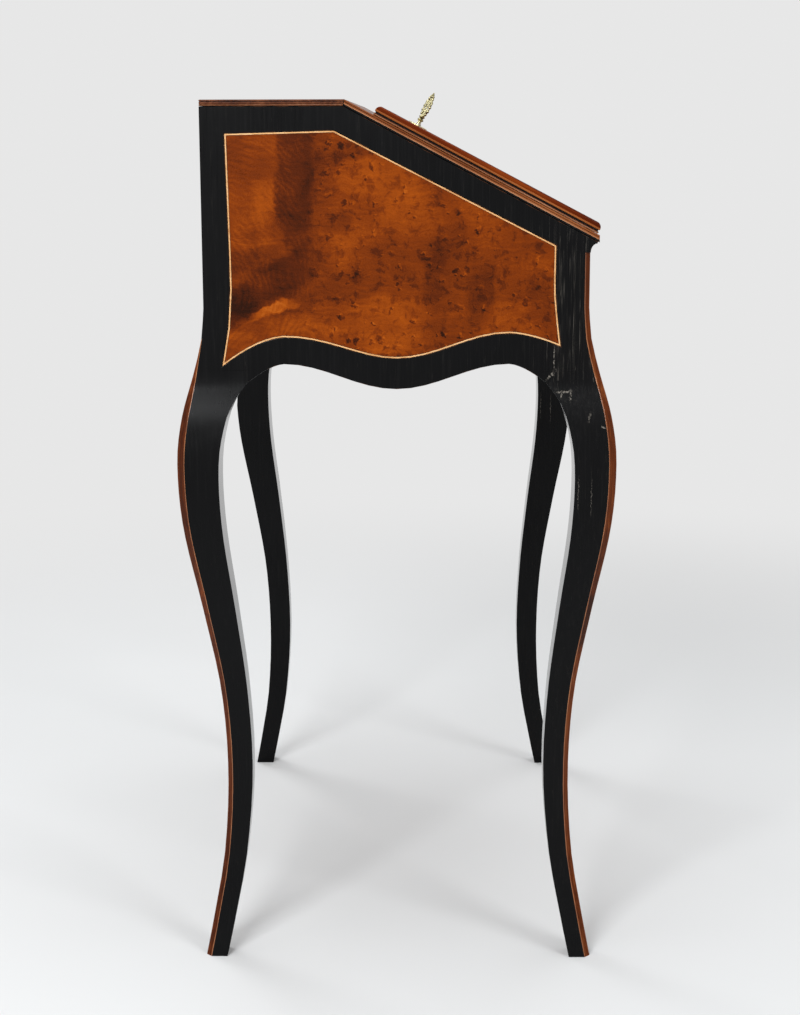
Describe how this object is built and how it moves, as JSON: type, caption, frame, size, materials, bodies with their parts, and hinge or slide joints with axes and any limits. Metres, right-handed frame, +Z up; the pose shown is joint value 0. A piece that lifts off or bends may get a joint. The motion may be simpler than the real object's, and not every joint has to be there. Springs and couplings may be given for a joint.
{
  "type": "slant-front writing desk",
  "caption": "Slant-front writing desk on cabriole legs, black with burr veneer fields, a hinged fall lid with lock and key, and a fitted interior.",
  "frame": {"origin": "on the floor, under the middle of the desk", "axes": "+Z up, -Y to the front where the lid falls open, +X to the right seen from the front"},
  "size_m": [0.6764, 0.46, 0.9388],
  "materials": {
    "ebonised_frame": "black stained, glossy varnish",
    "burr_veneer": "figured burr veneer, glossy varnish",
    "edge_wood": "red-brown, satin varnish",
    "boxwood_line": "pale line inlay",
    "interior_wood": "waxed",
    "brass_fittings": "polished, aged",
    "writing_leather": "smooth"
  },
  "bodies": {
    "case": {"leg_front_left": "ebonised_frame", "leg_front_right": "ebonised_frame", "leg_back_left": "ebonised_frame", "leg_back_right": "ebonised_frame", "side_panel_left": "ebonised_frame", "side_panel_right": "ebonised_frame", "back_panel": "ebonised_frame", "front_panel": "ebonised_frame", "cove_rail": "ebonised_frame", "side_inlay_left": "burr_veneer", "side_inlay_right": "burr_veneer", "top_inlay": "burr_veneer", "front_inlay": "burr_veneer", "slope_strip_left": "edge_wood", "slope_strip_right": "edge_wood", "top_board": "edge_wood", "lock_rail": "edge_wood", "nosing": "edge_wood", "side_stringing_left": "boxwood_line", "side_stringing_right": "boxwood_line", "top_stringing": "boxwood_line", "front_stringing": "boxwood_line", "top_core": "interior_wood", "bottom_board": "interior_wood", "writing_floor": "interior_wood", "well_wall_left": "interior_wood", "well_wall_right": "interior_wood", "loper_runner_left": "interior_wood", "loper_runner_right": "interior_wood", "drawer_shelf": "interior_wood", "drawer_divider_left": "interior_wood", "drawer_divider_right": "interior_wood", "pigeonhole_partition_left": "interior_wood", "pigeonhole_partition_right": "interior_wood", "strike_plate": "brass_fittings", "hinge_leaf_case_left": "brass_fittings", "hinge_leaf_case_right": "brass_fittings", "hinge_pin_left": "brass_fittings", "hinge_pin_right": "brass_fittings"},
    "lid": {"lid_panel": "ebonised_frame", "lid_moulding": "edge_wood", "lid_inlay": "burr_veneer", "lid_stringing": "boxwood_line", "writing_leather": "writing_leather", "hinge_leaf_lid_left": "brass_fittings", "hinge_leaf_lid_right": "brass_fittings", "lock_case": "brass_fittings", "escutcheon": "brass_fittings"},
    "key": {"key": "brass_fittings"},
    "bolt": {"lock_bolt": "brass_fittings"},
    "support_left": {"loper_left": "edge_wood"},
    "support_right": {"loper_right": "edge_wood"},
    "well_lid": {"well_cover": "interior_wood"},
    "small_drawer_left": {"drawer_left": "burr_veneer", "drawer_knob_left": "brass_fittings"},
    "small_drawer_middle": {"drawer_middle": "burr_veneer", "drawer_knob_middle": "brass_fittings"},
    "small_drawer_right": {"drawer_right": "burr_veneer", "drawer_knob_right": "brass_fittings"}
  },
  "joints": [
    {"name": "lid_hinge", "type": "hinge", "parent": "case", "child": "lid", "pos_m": [0, -0.209, 0.789], "axis": [1, 0, 0], "range_deg": [0, 152.3]},
    {"name": "key_turn", "type": "hinge", "parent": "lid", "child": "key", "pos_m": [0, -0.016, 0.89031], "axis": [0, -0.4648, 0.8854], "range_deg": [0, 180]},
    {"name": "bolt_throw", "type": "slide", "parent": "lid", "child": "bolt", "axis": [0, 0.8854, 0.4648], "range_m": [0, 0.008]},
    {"name": "support_left_slide", "type": "slide", "parent": "case", "child": "support_left", "axis": [0, -1, 0], "range_m": [0, 0.2]},
    {"name": "support_right_slide", "type": "slide", "parent": "case", "child": "support_right", "axis": [0, -1, 0], "range_m": [0, 0.2]},
    {"name": "well_lid_slide", "type": "slide", "parent": "case", "child": "well_lid", "axis": [0, 1, 0], "range_m": [0, 0.135]},
    {"name": "small_drawer_left_slide", "type": "slide", "parent": "case", "child": "small_drawer_left", "axis": [0, -1, 0], "range_m": [0, 0.085]},
    {"name": "small_drawer_middle_slide", "type": "slide", "parent": "case", "child": "small_drawer_middle", "axis": [0, -1, 0], "range_m": [0, 0.085]},
    {"name": "small_drawer_right_slide", "type": "slide", "parent": "case", "child": "small_drawer_right", "axis": [0, -1, 0], "range_m": [0, 0.085]}
  ],
  "couplings": [
    {"joint": "bolt_throw", "follows": "key_turn", "m_per_rad": 0.0025465}
  ]
}
